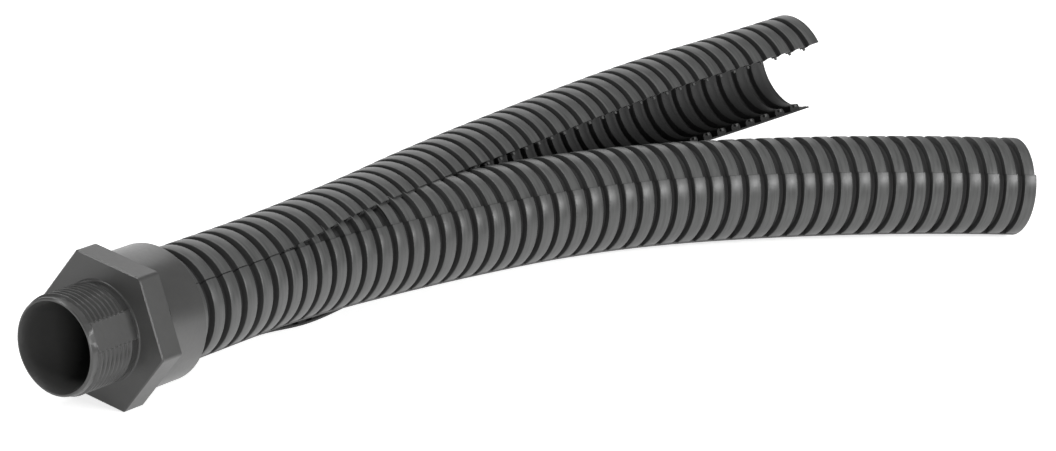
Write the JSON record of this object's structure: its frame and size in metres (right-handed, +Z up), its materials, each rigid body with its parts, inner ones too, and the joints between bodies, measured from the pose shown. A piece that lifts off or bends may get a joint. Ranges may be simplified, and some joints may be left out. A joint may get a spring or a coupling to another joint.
{
  "type": "divisible corrugated conduit with threaded fitting",
  "caption": "Divisible corrugated plastic conduit in a hexagonal threaded end fitting, its cover shell snapped on near the fitting and peeled open beyond, for leading cables.",
  "frame": {"origin": "centre of the hexagon flange's front face, on the thread's axis", "axes": "-X out of the thread, +X along the conduit as it leaves the fitting, +Z up from a hexagon flat, -Y the side on which the seam shows"},
  "size_m": [0.3206, 0.1157, 0.0403],
  "materials": {
    "fitting_plastic": "moulded dark grey polyamide with a satin skin",
    "conduit_plastic": "extruded anthracite polyamide, satin",
    "cover_plastic": "extruded anthracite polyamide, slightly duller and scuffed"
  },
  "bodies": {
    "root": {"fitting": "fitting_plastic", "lower_shell": "conduit_plastic", "cover_shell": "cover_plastic"}
  },
  "joints": []
}
